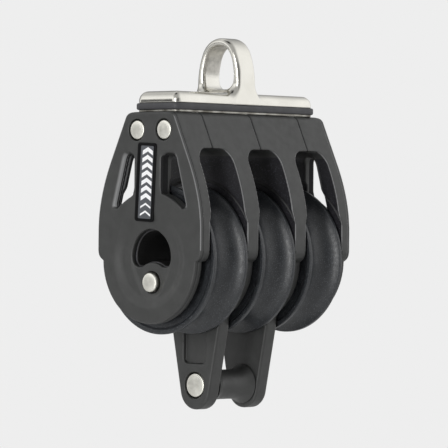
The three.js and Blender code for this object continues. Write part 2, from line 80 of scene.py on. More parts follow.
SHEAVE_HIGH = cad_box("sheave_middle")[1]
SHEAVE_RADIUS = SHEAVE_HIGH[2]
SHEAVE_HALF = SHEAVE_HIGH[1]
PITCH = sum(corner[1] for corner in cad_box("sheave_far")) / 2
SEAMS = {"near": -PITCH, "middle": 0.0, "far": PITCH}

OUTER_LOW, OUTER_HIGH = cad_box("cheek_outer_near")
FACE = OUTER_LOW[1]
SHOULDER = OUTER_HIGH[0]
DISC_RADIUS = -OUTER_LOW[2]
BODY_TOP = OUTER_HIGH[2]
LEG_FOOT = cad_box("cheek_middle_near")[0][2]

HUB_HIGH = cad_box("hub_middle")[1]
HUB_RADIUS = HUB_HIGH[2]
WELL_HALF = HUB_HIGH[1]
DISC_BACK = cad_box("hub_near")[0][1]

PLATE_LOW, PLATE_HIGH = cad_box("head_eye")
PAD_LOW, PAD_HIGH = cad_box("head_pad")
SHIM_LOW, SHIM_HIGH = cad_box("head_shim")
SPOOL_LOW, SPOOL_HIGH = cad_box("becket_spool")
BECKET_Z = (SPOOL_LOW[2] + SPOOL_HIGH[2]) / 2
LEG_OUT = cad_box("becket_rivet")[0][1]
LEG_IN = cad_box("becket_sleeve")[0][1]
LABEL_LOW, LABEL_HIGH = cad_box("label_near")

# --- sizes that the boxes don't show, the same as in the CAD source or close to them ---

SHOULDER_FOOT = 1.9
SHOULDER_TOP = 5.8
SHOULDER_DROP = 0.4
SHOULDER_BEND = 0.2
SIDE_BEND = (SHOULDER, 12.3)
SIDE_END = (10.9, 19.7)
TOP_CORNER = (6.9, 28.3)
TOP_BEND = 6.39
TOP_FLAT_HALF = 4.7
SLOT_HALF = 4.875
SLOT_TOP = 22.15
SLOT_CORNER = 3.0
WELL_RADIUS = 15.9
WELL_MOUTH_RADIUS = 16.75
RELIEF_RADIUS = 13.1
STRUT_RIGHT = 3.35
STRUT_LEFT = 4.6
WINDOW_TOP = 21.0
WINDOW_SHOULDER = (6.75, 19.8)
WINDOW_SIDE_END = (9.25, 11.0)
WINDOW_FLOOR = 13.5
WINDOW_FLOOR_END = 8.9
OPENING_HALF = 5.3
OPENING_TOP = 6.0
OPENING_LOBE = (3.3, -1.45)
OPENING_BUMP = -0.65
OPENING_WAIST = 0.6
HUB_LIP = 0.3
DISH_RADIUS = 10.1
DISH_FLOOR_RADIUS = 7.5
DISH_DEPTH = 0.7
DISH_FADE = 0.8
DISH_FADE_START = 2.0
TEARDROP_DEPTH = 1.0
TEARDROP_DRAFT = 2.0
TEARDROP_HALF = 5.5
TEARDROP_TOP = 0.4
TEARDROP_WAIST = (4.7, -3.0)
TEARDROP_TIP = (2.8, -6.3)
TEARDROP_FOOT = -7.6
HEAD_RIVETS = [(3.7, 25.8), (-3.7, 25.8)]
HUB_RIVET_Z = -4.6
HEAD_LENGTH = 1.2
HUB_HEAD_LENGTH = 1.8
COUNTERBORE_DEPTH = 1.3
COUNTERBORE_GAP = 0.2
SHANK_RADIUS = 1.5
BECKET_SHANK_RADIUS = 1.9
SHANK_FIT = 0.3
LEG_TOP = -8.0
LEG_KNEE = (6.6, -13.5)
LEG_END_RADIUS = 4.0
LEG_END_Z = LEG_FOOT + LEG_END_RADIUS
LEG_POCKET_DEPTH = 0.7
LEG_POCKET_HALF = 3.05
LEG_POCKET_TOP = -13.2
LEG_POCKET_FOOT = -21.0
LEG_POCKET_CORNER = 1.3
PLATE_HALF_X = 5.7
PLATE_TOP = 33.6
PLATE_CORNER = 1.5
EYE_HALF = 2.7
EYE_WAIST = 35.6
EYE_SHOULDER = (4.55, 42.2)
EYE_HOLE_TOP = 43.1
EYE_HOLE_FLOOR = 34.5
EYE_HOLE_FLOOR_HALF = 2.2
EYE_HOLE_HALF = 3.75
EYE_HOLE_WIDEST = 38.6
LUG_HALF_THICKNESS = 1.2
LUG_HALF_WIDTH = 4.9
LUG_FIT = 0.3
BORE_RADIUS = 10.7
RIB_RADIUS = 10.2
GROOVE_FLOOR = 12.0
ROW_OFFSET = 2.7
BALL_RADIUS = 1.15
BALLS_IN_ROW = 14
SPOOL_MIDDLE_RADIUS = 3.0
SPOOL_FLARE_POWER = 4
SPOOL_BORE = 2.75
SLEEVE_BORE = 2.1
LABEL_HALF = 2.6
LABEL_HALF_HEIGHT = 7.85
LABEL_SHIFT = -0.9
LABEL_TILT = math.radians(-3)

# Edge rounding and gaps
SEAM_GAP = 0.05
SIDE_ROUND = 0.2
FRONT_ROUND = 0.3
REBATE = 0.7
REBATE_INSET = 0.08
SLOT_ROUND = 0.25
WELL_ROUND = 0.25
STRUT_ROUND = 0.6
WINDOW_ROUND = 1.3
SMALL_ROUND = 0.25
BORE_ROUND = 0.15
HOLE_ROUND = 0.1
LEG_ROUND = 0.5
LINE_HALF = 0.1
RIVET_RINGS = 7


# --- outlines ---


class Outline:
    """A closed outline, drawn from point to point."""

    def __init__(self, start):
        self.points = [np.array(start, float)]

    def line(self, *ends):
        self.points += [np.array(end, float) for end in ends]
        return self

    def bend(self, control, end, steps=8):
        start, control, end = self.points[-1], np.array(control, float), np.array(end, float)
        for t in np.linspace(0, 1, steps + 1)[1:]:
            self.points.append((1 - t) ** 2 * start + 2 * t * (1 - t) * control + t * t * end)
        return self

    def curve(self, first, second, end, steps=12):
        start = self.points[-1]
        first, second, end = np.array(first, float), np.array(second, float), np.array(end, float)
        for t in np.linspace(0, 1, steps + 1)[1:]:
            self.points.append((1 - t) ** 3 * start + 3 * t * (1 - t) ** 2 * first
                               + 3 * t * t * (1 - t) * second + t ** 3 * end)
        return self

    def arc(self, centre, radius, start, stop, steps=24):
        for angle in np.linspace(start, stop, steps + 1):
            self.points.append(np.array(centre) + radius * np.array([math.cos(angle), math.sin(angle)]))
        return self

    def mirrored(self):
        """Adds the other half, which is the same with X turned round."""
        self.points += [point * (-1, 1) for point in self.points[::-1]]
        return self


class Distance:
    """Signed distance to a closed outline, negative inside, worked out once on a fine grid."""

    SPACING = 0.1
    MARGIN = 3.0

    def __init__(self, outline):
        points = np.array(outline.points)
        self.low = points.min(0) - self.MARGIN
        counts = np.ceil((points.max(0) + self.MARGIN - self.low) / self.SPACING).astype(int) + 1
        u = self.low[0] + self.SPACING * np.arange(counts[0])[:, None]
        v = self.low[1] + self.SPACING * np.arange(counts[1])[None, :]
        nearest = np.full(counts, np.inf)
        inside = np.zeros(counts, bool)
        for a, b in zip(points, np.roll(points, -1, axis=0)):
            edge = b - a
            if edge @ edge < 1e-12:
                continue
            along = np.clip(((u - a[0]) * edge[0] + (v - a[1]) * edge[1]) / (edge @ edge), 0, 1)
            gap = (u - a[0] - along * edge[0]) ** 2 + (v - a[1] - along * edge[1]) ** 2
            nearest = np.minimum(nearest, gap)
            if a[1] != b[1]:
                crosses = ((a[1] > v) != (b[1] > v)) & (u < a[0] + (v - a[1]) * edge[0] / edge[1])
                inside ^= crosses
        self.values = np.where(inside, -1, 1) * np.sqrt(nearest)

    def __call__(self, u, v):
        u = np.clip((u - self.low[0]) / self.SPACING, 0, self.values.shape[0] - 1.001)
        v = np.clip((v - self.low[1]) / self.SPACING, 0, self.values.shape[1] - 1.001)
        i, j = u.astype(int), v.astype(int)
        s, t = u - i, v - j
        low = self.values[i, j] * (1 - s) + self.values[i + 1, j] * s
        high = self.values[i, j + 1] * (1 - s) + self.values[i + 1, j + 1] * s
        return low * (1 - t) + high * t


def cheek_outline():
    start = math.asin(SHOULDER_DROP / DISC_RADIUS)
    shape = Outline((-DISC_RADIUS * math.cos(start), -SHOULDER_DROP))
    shape.arc((0, 0), DISC_RADIUS, math.pi + start, 2 * math.pi - start, 60)
    shape.bend((SHOULDER, SHOULDER_BEND), (SHOULDER, SHOULDER_FOOT)).line((SHOULDER, SHOULDER_TOP))
    shape.bend(SIDE_BEND, SIDE_END, 16).line(TOP_CORNER)
    shape.bend((TOP_BEND, BODY_TOP), (TOP_FLAT_HALF, BODY_TOP)).line((-TOP_FLAT_HALF, BODY_TOP))
    shape.bend((-TOP_BEND, BODY_TOP), (-TOP_CORNER[0], TOP_CORNER[1])).line((-SIDE_END[0], SIDE_END[1]))
    shape.bend((-SIDE_BEND[0], SIDE_BEND[1]), (-SHOULDER, SHOULDER_TOP), 16)
    shape.line((-SHOULDER, SHOULDER_FOOT))
    return shape.bend((-SHOULDER, SHOULDER_BEND), (-DISC_RADIUS, -SHOULDER_DROP))


def leg_outline():
    """Straight sides that taper from the knee and run into the round end without a step."""
    reach = math.hypot(LEG_KNEE[0], LEG_KNEE[1] - LEG_END_Z)
    sweep = math.acos(LEG_END_RADIUS / reach) - math.atan2(LEG_KNEE[1] - LEG_END_Z, LEG_KNEE[0])
    shape = Outline((0, LEG_FOOT)).arc((0, LEG_END_Z), LEG_END_RADIUS, -math.pi / 2, -sweep, 12)
    return shape.line(LEG_KNEE, (LEG_KNEE[0], LEG_TOP)).mirrored()


def window_outline(inner):
    """A window on the +X side of the strut, from the strut's flank at x = inner."""
    inner_floor = math.sqrt(WINDOW_FLOOR ** 2 - inner ** 2)
    outer_floor = math.sqrt(WINDOW_FLOOR ** 2 - WINDOW_FLOOR_END ** 2)
    middle = (inner + WINDOW_SHOULDER[0]) / 2
    shape = Outline((inner, inner_floor)).line((inner, WINDOW_SHOULDER[1]))
    shape.bend((inner, WINDOW_TOP), (middle, WINDOW_TOP))
    shape.bend((WINDOW_SHOULDER[0] - 0.35, WINDOW_TOP), WINDOW_SHOULDER).line(WINDOW_SIDE_END)
    shape.bend((WINDOW_SIDE_END[0] + 0.2, WINDOW_SIDE_END[1] - 0.8), (WINDOW_FLOOR_END, outer_floor))
    return shape.arc((0, 0), WINDOW_FLOOR, math.atan2(outer_floor, WINDOW_FLOOR_END),
                     math.atan2(inner_floor, inner), 10)


def opening_outline(shrink):
    """The lashing hole: a round top and a floor that rises over the hub rivet."""
    half, top = OPENING_HALF - shrink, OPENING_TOP - shrink
    lobe, bump = OPENING_LOBE[1] + shrink, OPENING_BUMP + shrink
    lobe_x, bump_x = OPENING_LOBE[0] - 0.6, 1.6
    arch, spring, waist = 3.1, 3.2, OPENING_WAIST
    shape = Outline((0, bump)).bend((bump_x, bump), (lobe_x, lobe)).bend((half, lobe - 0.5), (half, waist))
    return shape.curve((half, spring), (arch, top), (0, top)).mirrored()


def teardrop_outline():
    """Recess from the lashing hole's shoulders down round the hub rivet."""
    half, foot, tip, waist = TEARDROP_HALF, TEARDROP_FOOT, TEARDROP_TIP, TEARDROP_WAIST
    shape = Outline((0, foot)).bend((tip[0] - 0.8, foot), tip).line(waist)
    return shape.bend((half, waist[1] + 1.4), (half, TEARDROP_TOP)).mirrored()


def leg_pocket_outline():
    half, foot, corner = LEG_POCKET_HALF, LEG_POCKET_FOOT, LEG_POCKET_CORNER
    shape = Outline((0, foot)).line((half - corner, foot)).bend((half, foot), (half, foot + corner))
    return shape.line((half, LEG_POCKET_TOP)).mirrored()


def eye_outline():
    foot, half, top = PAD_HIGH[2] - 1, PLATE_HIGH[0], PLATE_HIGH[2]
    crown, bend = top - 1.4, EYE_WAIST + 2.8
    wide, high = EYE_SHOULDER
    shape = Outline((0, foot)).line((half, foot), (half, EYE_WAIST))
    shape.curve((half - 0.1, bend), (wide + 0.9, high - 2), (wide, high))
    return shape.curve((wide - 0.7, crown), (2.4, top), (0, top)).mirrored()


def eye_hole_outline():
    floor, top, half, widest = EYE_HOLE_FLOOR, EYE_HOLE_TOP, EYE_HOLE_HALF, EYE_HOLE_WIDEST
    shape = Outline((0, floor)).line((EYE_HOLE_FLOOR_HALF, floor))
    shape.curve((half, floor), (half + 0.4, widest - 2), (half, widest))
    return shape.curve((half - 0.4, widest + 2.4), (2.6, top), (0, top)).mirrored()


# --- solids as distance fields ---


def meet(a, b, rounding):
    """The part inside both a and b, with the edge between them rounded."""
    corner = np.hypot(np.maximum(a + rounding, 0), np.maximum(b + rounding, 0))
    return np.minimum(-rounding, np.maximum(a, b)) + corner


def join(a, b, fillet):
    """Both a and b, with a fillet in the corner between them."""
    return -meet(-a, -b, fillet)


def cut(body, cutter, rounding):
    """The body without the cutter, with the edge that the cut leaves rounded."""
    return meet(body, -cutter, rounding)


def between(value, low, high):
    return np.maximum(low - value, value - high)


def ramp(value, low, high):
    """0 below low, 1 above high, smooth between."""
    t = np.clip((value - low) / (high - low), 0, 1)
    return t * t * (3 - 2 * t)


def rod(x, z, centre, radius):
    return np.hypot(x - centre[0], z - centre[1]) - radius


def rope_slot(y, z, centre):
    return meet(np.abs(y - centre) - SLOT_HALF, z - SLOT_TOP, SLOT_CORNER)


def sheave_well(radius, y, centre):
    """Round well that a sheave turns in, with a coned mouth."""
    away = np.abs(y - centre)
    lean = np.array([WELL_HALF - SLOT_HALF, WELL_MOUTH_RADIUS - WELL_RADIUS])
    lean /= np.linalg.norm(lean)
    cone = (radius - WELL_RADIUS) * lean[0] + (away - WELL_HALF) * lean[1]
    return np.maximum(np.maximum(away - WELL_HALF, radius - WELL_MOUTH_RADIUS), cone)


def lug_pocket(x, y, z, centre):
    half = LUG_HALF_THICKNESS + LUG_FIT
    sides = np.maximum(np.abs(x) - LUG_HALF_WIDTH - LUG_FIT, np.abs(y - centre) - half)
    return np.maximum(sides, PLATE_LOW[2] - LUG_FIT - z)


def shank_holes(body, x, z):
    for place in (*HEAD_RIVETS, (0, HUB_RIVET_Z)):
        body = cut(body, rod(x, z, place, SHANK_RADIUS + SHANK_FIT), HOLE_ROUND)
    return body


def counterbore(body, x, y, z, place, radius, face, depth):
    """Sinks a rivet's head into a face that looks towards -Y."""
    return cut(body, np.maximum(rod(x, z, place, radius), y - face - depth), BORE_ROUND)


def window_rounding(x, y, radius):
    """A window's edges are rounded softly at the front of the strut and widely towards the sides."""
    outward = ramp(np.abs(x), 5.0, 7.0)
    soft = STRUT_ROUND * (1 - outward) * ramp(radius, WINDOW_FLOOR, WINDOW_FLOOR + 1.5)
    soft = soft * ramp(-y, -FACE - 2.4, -FACE - 1.6)
    wide = WINDOW_ROUND * outward * ramp(radius, WINDOW_FLOOR - 0.4, WINDOW_FLOOR + 1.1)
    return SMALL_ROUND + (soft + wide)


def dish_depth(x, z):
    """How far the dish round the lashing hole lies behind the cheek's face; it fades out upwards."""
    bowl = DISH_DEPTH * (1 - ramp(np.hypot(x, z), DISH_FLOOR_RADIUS, DISH_RADIUS))
    return bowl * (1 - DISH_FADE * ramp(z, DISH_FADE_START, DISH_RADIUS))


def outer_cheek():
    side = Distance(cheek_outline())
    windows = ((1, Distance(window_outline(STRUT_RIGHT))), (-1, Distance(window_outline(STRUT_LEFT))))
    opening = Distance(opening_outline(0))
    teardrop = Distance(teardrop_outline())
    seam = -PITCH
    bore = cad_radius("head_rivet_right") + COUNTERBORE_GAP

    def field(x, y, z):
        radius = np.hypot(x, z)
        edge = side(x, z)
        wall = meet(edge, between(y, FACE + REBATE, seam - SEAM_GAP), SIDE_ROUND)
        front = meet(edge + REBATE_INSET, between(y, FACE + dish_depth(x, z), FACE + 2), FRONT_ROUND)
        body = np.minimum(wall, front)
        body = cut(body, rope_slot(y, z, seam), SLOT_ROUND)
        body = cut(body, sheave_well(radius, y, seam), WELL_ROUND)
        body = cut(body, np.maximum(radius - RELIEF_RADIUS, DISC_BACK - y), BORE_ROUND)
        rounding = window_rounding(x, y, radius)
        for hand, window in windows:
            body = cut(body, window(hand * x, z), rounding)
        body = cut(body, opening(x, z), 0.35)
        recess = teardrop(x, z) + TEARDROP_DRAFT * (y - FACE - DISH_DEPTH)
        body = cut(body, meet(recess, y - FACE - TEARDROP_DEPTH, 0.2), SMALL_ROUND)
        for place in HEAD_RIVETS:
            body = counterbore(body, x, y, z, place, bore, FACE, COUNTERBORE_DEPTH)
        body = counterbore(body, x, y, z, (0, HUB_RIVET_Z), bore, FACE, HUB_HEAD_LENGTH)
        body = shank_holes(body, x, z)
        return cut(body, lug_pocket(x, y, z, seam), HOLE_ROUND)

    return field


def middle_cheek():
    side = Distance(cheek_outline())
    opening = Distance(opening_outline(0))
    leg = Distance(leg_outline())
    leg_pocket = Distance(leg_pocket_outline())
    bore = cad_radius("becket_rivet") + COUNTERBORE_GAP

    def field(x, y, z):
        radius = np.hypot(x, z)
        edge = side(x, z)
        body = meet(edge, between(y, -PITCH + SEAM_GAP, -SEAM_GAP), SIDE_ROUND)
        for centre in (-PITCH, 0.0):
            body = cut(body, rope_slot(y, z, centre), SLOT_ROUND)
            body = cut(body, sheave_well(radius, y, centre), WELL_ROUND)
        hanger = join(edge, leg(x, z), 1.0)
        body = np.minimum(body, meet(hanger, between(y, LEG_OUT, LEG_IN), LEG_ROUND))
        body = cut(body, np.maximum(leg_pocket(x, z), y - LEG_OUT - LEG_POCKET_DEPTH), SMALL_ROUND)
        body = counterbore(body, x, y, z, (0, BECKET_Z), bore, LEG_OUT, COUNTERBORE_DEPTH)
        body = cut(body, rod(x, z, (0, BECKET_Z), BECKET_SHANK_RADIUS + SHANK_FIT), HOLE_ROUND)
        body = cut(body, opening(x, z), 0.25)
        body = shank_holes(body, x, z)
        for centre in (-PITCH, 0.0):
            body = cut(body, lug_pocket(x, y, z, centre), HOLE_ROUND)
        return body

    return field


def hub(start, end):
    opening = Distance(opening_outline(HUB_LIP))

    def field(x, y, z):
        body = meet(np.hypot(x, z) - HUB_RADIUS, between(y, start, end), 0.15)
        body = cut(body, opening(x, z), 0.25)
        return cut(body, rod(x, z, (0, HUB_RIVET_Z), SHANK_RADIUS + SHANK_FIT), HOLE_ROUND)

    return field


def head_eye():
    """Polished plate with the bow of the eye rising from it, and lugs down into the cheeks."""
    bow_edge = Distance(eye_outline())
    hole = Distance(eye_hole_outline())
    top_round = 1.95
    bow_round, hole_round, bow_fillet = 1.1, 0.55, 2.4

    def field(x, y, z):
        out_x = np.abs(x) - PLATE_HALF_X + PLATE_CORNER
        out_y = np.abs(y) - PLATE_HIGH[1] + PLATE_CORNER
        rim = np.hypot(np.maximum(out_x, 0), np.maximum(out_y, 0)) + np.minimum(np.maximum(out_x, out_y), 0)
        plate = meet(rim - PLATE_CORNER, z - PLATE_TOP, top_round)
        ring = meet(bow_edge(x, z), -hole(x, z), 0.1)
        bow = meet(ring, np.abs(y) - EYE_HALF, bow_round)
        body = join(plate, bow, bow_fillet)
        body = cut(body, meet(hole(x, z), np.abs(y) - 2 * EYE_HALF, 0.1), hole_round)
        body = meet(body, np.abs(x) - PLATE_HIGH[0], 0.3)
        body = meet(body, PAD_HIGH[2] - z, 0.2)
        for seam in SEAMS.values():
            lug = meet(np.abs(x) - LUG_HALF_WIDTH, np.abs(y - seam) - LUG_HALF_THICKNESS, 0.2)
            body = np.minimum(body, meet(lug, between(z, PLATE_LOW[2], PAD_HIGH[2] + 0.5), 0.2))
        for place in HEAD_RIVETS:
            body = cut(body, rod(x, z, place, SHANK_RADIUS + SHANK_FIT), HOLE_ROUND)
        return body

    return field


# --- meshes ---


def gradient(field, points, reach):
    slopes = []
    for axis in range(3):
        offset = np.zeros(3)
        offset[axis] = reach
        slopes.append((field(*(points + offset).T) - field(*(points - offset).T)) / (2 * reach))
    return np.stack(slopes, axis=1)


def snap(field, points):
    """Moves points onto the surface, a short way at most."""
    for _ in range(3):
        value = field(*points.T)
        slope = gradient(field, points, 0.02)
        steepness = np.maximum((slope ** 2).sum(1), 0.2)
        move = np.clip(value / steepness, -STEP / 2, STEP / 2)
        points = points - move[:, None] * slope
    return points


def skin(field, low, high, step=STEP):
    """Points, quads and normals of the surface where a distance field is zero."""
    counts = np.ceil((np.array(high) - low) / step).astype(int) + 4
    axes = [low[k] - 1.5 * step + step * np.arange(counts[k]) for k in range(3)]
    grid = field(axes[0][:, None, None], axes[1][None, :, None], axes[2][None, None, :])
    grid = np.broadcast_to(grid, counts)
    inside = grid < 0
    offsets = [(i, j, k) for i in (0, 1) for j in (0, 1) for k in (0, 1)]
    cells = counts - 1
    window = [tuple(slice(o[k], o[k] + cells[k]) for k in range(3)) for o in offsets]
    filled = sum(inside[w].astype(np.int8) for w in window)
    active = np.argwhere((filled > 0) & (filled < 8))
    ids = np.full(cells, -1)
    ids[tuple(active.T)] = np.arange(len(active))

    values = np.stack([grid[w][tuple(active.T)] for w in window], axis=1)
    total, hits = np.zeros((len(active), 3)), np.zeros(len(active))
    for a, start in enumerate(offsets):
        for b, end in enumerate(offsets):
            if sum(end) - sum(start) != 1 or any(e < s for s, e in zip(start, end)):
                continue
            crossed = (values[:, a] < 0) != (values[:, b] < 0)
            t = np.where(crossed, values[:, a] / np.where(crossed, values[:, a] - values[:, b], 1), 0)
            spot = np.array(start) + t[:, None] * (np.array(end) - start)
            total += spot * crossed[:, None]
            hits += crossed
    origin = np.array([axis[0] for axis in axes])
    points = origin + step * (active + total / hits[:, None])

    quads = []
    for axis in range(3):
        u, v = (axis + 1) % 3, (axis + 2) % 3
        change = np.diff(inside.astype(np.int8), axis=axis)
        for flip in (False, True):
            edges = np.argwhere(change == (1 if flip else -1))
            edges = edges[(edges[:, u] > 0) & (edges[:, v] > 0)]
            ring = []
            for du, dv in ((1, 1), (0, 1), (0, 0), (1, 0)):
                cell = edges.copy()
                cell[:, u] -= du
                cell[:, v] -= dv
                ring.append(ids[tuple(cell.T)])
            quads.append(np.stack(ring[::-1] if flip else ring, axis=1))
    quads = np.concatenate(quads)
    points = snap(field, points)
    normals = gradient(field, points, 0.05)
    normals /= np.maximum(np.linalg.norm(normals, axis=1), 1e-9)[:, None]
    return points, quads, normals


def rounded_corners(profile, steps=4):
    """Radius and Y points with each corner cut back by its third number and bent round."""
    count = len(profile)
    spots = [np.array(p[:2], float) for p in profile]
    points = []
    for k, corner in enumerate(profile):
        here = spots[k]
        size = corner[2] if len(corner) > 2 else 0
        if size == 0:
            points.append(here)
            continue
        before, after = spots[k - 1] - here, spots[(k + 1) % count] - here
        start = here + before * min(size / np.linalg.norm(before), 0.5)
        end = here + after * min(size / np.linalg.norm(after), 0.5)
        for t in np.linspace(0, 1, steps + 1):
            points.append((1 - t) ** 2 * start + 2 * t * (1 - t) * here + t * t * end)
    return np.array(points)


def turned(profile, segments=96, centre=(0, 0, 0), closed=True):
    """Points, faces and normals of a profile of radius and Y turned about the Y axis.
    A closed profile is a ring; an open one starts and ends on the axis."""
    profile = np.asarray(profile, float)
    count = len(profile)
    following = np.roll(profile, -1, axis=0) - profile
    size = np.linalg.norm(following, axis=1)[:, None]
    size[size == 0] = 1e-9
    outward = np.stack([-following[:, 1], following[:, 0]], axis=1)
    if not closed:
        outward[-1] = 0
    area = (profile[:, 0] * np.roll(profile[:, 1], -1) - np.roll(profile[:, 0], -1) * profile[:, 1]).sum()
    outward *= -np.sign(area) * size
    blend = outward + np.roll(outward, 1, axis=0)
    blend /= np.maximum(np.linalg.norm(blend, axis=1), 1e-12)[:, None]
    angle = 2 * math.pi * np.arange(segments) / segments
    sine, cosine = np.sin(angle)[:, None], np.cos(angle)[:, None]

    def around(flat):
        along = np.broadcast_to(flat[:, 1], (segments, count))
        return np.stack([sine * flat[:, 0], along, cosine * flat[:, 0]], axis=2).reshape(-1, 3)

    points, normals = around(profile) + np.array(centre), around(blend)
    faces = []
    for s in range(segments):
        t = (s + 1) % segments
        for k in range(count if closed else count - 1):
            n = (k + 1) % count
            ring = [s * count + k, s * count + n, t * count + n, t * count + k]
            if profile[k][0] < 1e-6:
                ring = [k, s * count + n, t * count + n]
            elif profile[n][0] < 1e-6:
                ring = [s * count + k, n, t * count + k]
            faces.append(ring if area < 0 else ring[::-1])
    return points, faces, normals


def stacked(outline, levels):
    """Points and faces of a flat sheet: copies of an outline at each (inset, height), capped."""
    points, faces = [], []
    for inset, height in levels:
        points += [(u, v, height) for u, v in outline(inset)]
    count = len(points) // len(levels)
    for level in range(len(levels) - 1):
        low, high = level * count, (level + 1) * count
        for k in range(count):
            n = (k + 1) % count
            faces.append([low + k, low + n, high + n, high + k])
    faces.append(list(range(count))[::-1])
    faces.append([(len(levels) - 1) * count + k for k in range(count)])
    return np.array(points), faces


def rounded_rectangle(half_u, half_v, corner):
    """A function that gives the rectangle's points, drawn in by an inset."""
    def outline(inset):
        size = max(corner - inset, 0.05)
        points = []
        for quarter, (su, sv) in enumerate(((1, 1), (-1, 1), (-1, -1), (1, -1))):
            centre = np.array([su * (half_u - inset - size), sv * (half_v - inset - size)])
            for step in range(7):
                angle = math.pi / 2 * (quarter + step / 6)
                points.append(tuple(centre + size * np.array([math.cos(angle), math.sin(angle)])))
        return points
    return outline


def upright(points):
    """A function that gives the same points at every inset."""
    return lambda inset: points


def piece(name, points, faces, material, nodes=(), normals=None, body="block_body"):
    """Makes a piece from millimetre points and ties it to its body and its CAD nodes."""
    mesh = bpy.data.meshes.new(name)
    where = np.asarray(points) * MM + AXLE
    if isinstance(faces, np.ndarray):
        faces = faces.tolist()
    mesh.from_pydata(where.tolist(), [], faces)
    mesh.validate(verbose=False)
    mesh.polygons.foreach_set("use_smooth", [True] * len(mesh.polygons))
    if normals is None:
        mesh.set_sharp_from_angle(angle=math.radians(32))
    else:
        mesh.normals_split_custom_set_from_vertices(np.asarray(normals).tolist())
    mesh.update()
    mesh.materials.append(material)
    shape = bpy.data.objects.new(name, mesh)
    bpy.context.scene.collection.objects.link(shape)
    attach(shape, body)
    if nodes:
        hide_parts(*nodes)
    return shape


# --- materials ---


def opaque(colour):
    """A colour with its alpha; a plain number is a grey."""
    return (colour, colour, colour, 1) if isinstance(colour, (int, float)) else (*colour, 1)


class Graph:
    """Short names for the shader nodes that the materials and the world share."""

    def __init__(self, tree):
        self.tree = tree

    def node(self, kind):
        return self.tree.nodes.new(f"ShaderNode{kind}")

    def feed(self, value, socket):
        """Links an output to a socket, or sets the socket to a plain value."""
        if isinstance(value, bpy.types.NodeSocket):
            self.tree.links.new(value, socket)
        else:
            socket.default_value = value

    def math(self, operation, *values):
        node = self.node("Math")
        node.operation = operation
        for value, socket in zip(values, node.inputs):
            self.feed(value, socket)
        return node.outputs["Value"]

    def size(self, value):
        return self.math("ABSOLUTE", value)

    def more(self, value, limit):
        return self.math("GREATER_THAN", value, limit)

    def less(self, value, limit):
        return self.math("LESS_THAN", value, limit)

    def length(self, *pair):
        """The length of a flat vector."""
        squares = [self.math("MULTIPLY", value, value) for value in pair]
        return self.math("SQRT", self.math("ADD", *squares))

    def all_of(self, mask, *others):
        """The product of masks: 1 only where every one of them is 1."""
        for other in others:
            mask = self.math("MULTIPLY", mask, other)
        return mask


class Material(Graph):
    """A material on one shader, with its patterns fixed to the piece."""

    def __init__(self, name):
        self.material = bpy.data.materials.new(name)
        self.material.use_nodes = True
        super().__init__(self.material.node_tree)
        self.shader = self.tree.nodes["Principled BSDF"]
        self.coordinates = self.node("TexCoord")

    def set(self, name, value):
        self.feed(value, self.shader.inputs[name])

    def axes(self, source="Object"):
        node = self.node("SeparateXYZ")
        self.feed(self.coordinates.outputs[source], node.inputs["Vector"])
        return node.outputs

    def noise(self, scale, detail):
        node = self.node("TexNoise")
        node.inputs["Scale"].default_value = scale
        node.inputs["Detail"].default_value = detail
        self.feed(self.coordinates.outputs["Object"], node.inputs["Vector"])
        return node.outputs["Fac"]

    def ramp(self, source, low, high, span):
        """Runs from one colour to another as the source goes over a span."""
        node = self.node("ValToRGB")
        for element, colour, position in zip(node.color_ramp.elements, (low, high), span):
            element.position = position
            element.color = opaque(colour)
        self.feed(source, node.inputs["Fac"])
        return node.outputs["Color"]

    def mottle(self, scale, detail, low, high, span=(0.3, 0.7)):
        """Noise that runs from one colour to another."""
        return self.ramp(self.noise(scale, detail), low, high, span)

    def mix(self, mask, base, over):
        """The base, with another colour where the mask is 1."""
        node = self.node("Mix")
        node.data_type = "RGBA"
        self.feed(mask, node.inputs[0])
        self.feed(base, node.inputs[6])
        self.feed(over if isinstance(over, bpy.types.NodeSocket) else opaque(over), node.inputs[7])
        return node.outputs[2]

    def bump(self, source, strength, distance):
        """Adds relief to whatever relief is there already."""
        node = self.node("Bump")
        node.inputs["Strength"].default_value = strength
        node.inputs["Distance"].default_value = distance
        self.feed(source, node.inputs["Height"])
        normal = self.shader.inputs["Normal"]
        if normal.is_linked:
            self.feed(normal.links[0].from_socket, node.inputs["Normal"])
        self.feed(node.outputs["Normal"], normal)


def height(z):
    """A level in millimetres from the axle, as a height in the row frame."""
    return float(AXLE[2]) + z * MM


def rebate_shade_line(nodes):
    """1 on the hairline at the mould's parting line round an outer cheek's side, where a painted shadow of
    the groove goes, 0 elsewhere.
    """
    x, y, z = nodes.axes()
    radius = nodes.length(x, nodes.math("SUBTRACT", z, height(0)))
    behind = nodes.math("SUBTRACT", nodes.size(y), (-FACE - REBATE) * MM)
    near_line = nodes.less(nodes.size(behind), LINE_HALF * MM)
    return nodes.all_of(near_line, nodes.more(radius, 0.9 * DISC_RADIUS * MM))


def inner_wall_shade(nodes):
    """1 on the walls beside the sheaves, which are painted dark as shade, with a coarse speckled grain, 0
    elsewhere.
    """
    y, z = nodes.axes()[1:]
    across = nodes.more(nodes.size(nodes.axes("Normal")["Y"]), 0.85)
    inside = nodes.less(nodes.size(y), -DISC_BACK * MM)
    return nodes.all_of(across, inside, nodes.more(z, height(LEG_TOP)))


def window_walls(nodes):
    """1 on the walls of the windows through an outer cheek, which are painted near-black as shade and made
    rough, 0 elsewhere.
    """
    x, y, z = nodes.axes()
    sideways = nodes.more(nodes.size(nodes.axes("Normal")["X"]), 0.6)
    within = nodes.less(nodes.size(x), (WINDOW_SIDE_END[0] + 0.4) * MM)
    outer = nodes.more(nodes.size(y), -DISC_BACK * MM)
    below = nodes.less(z, height(WINDOW_TOP))
    above = nodes.more(z, height(WINDOW_SIDE_END[1]))
    return nodes.all_of(sideways, within, outer, below, above)


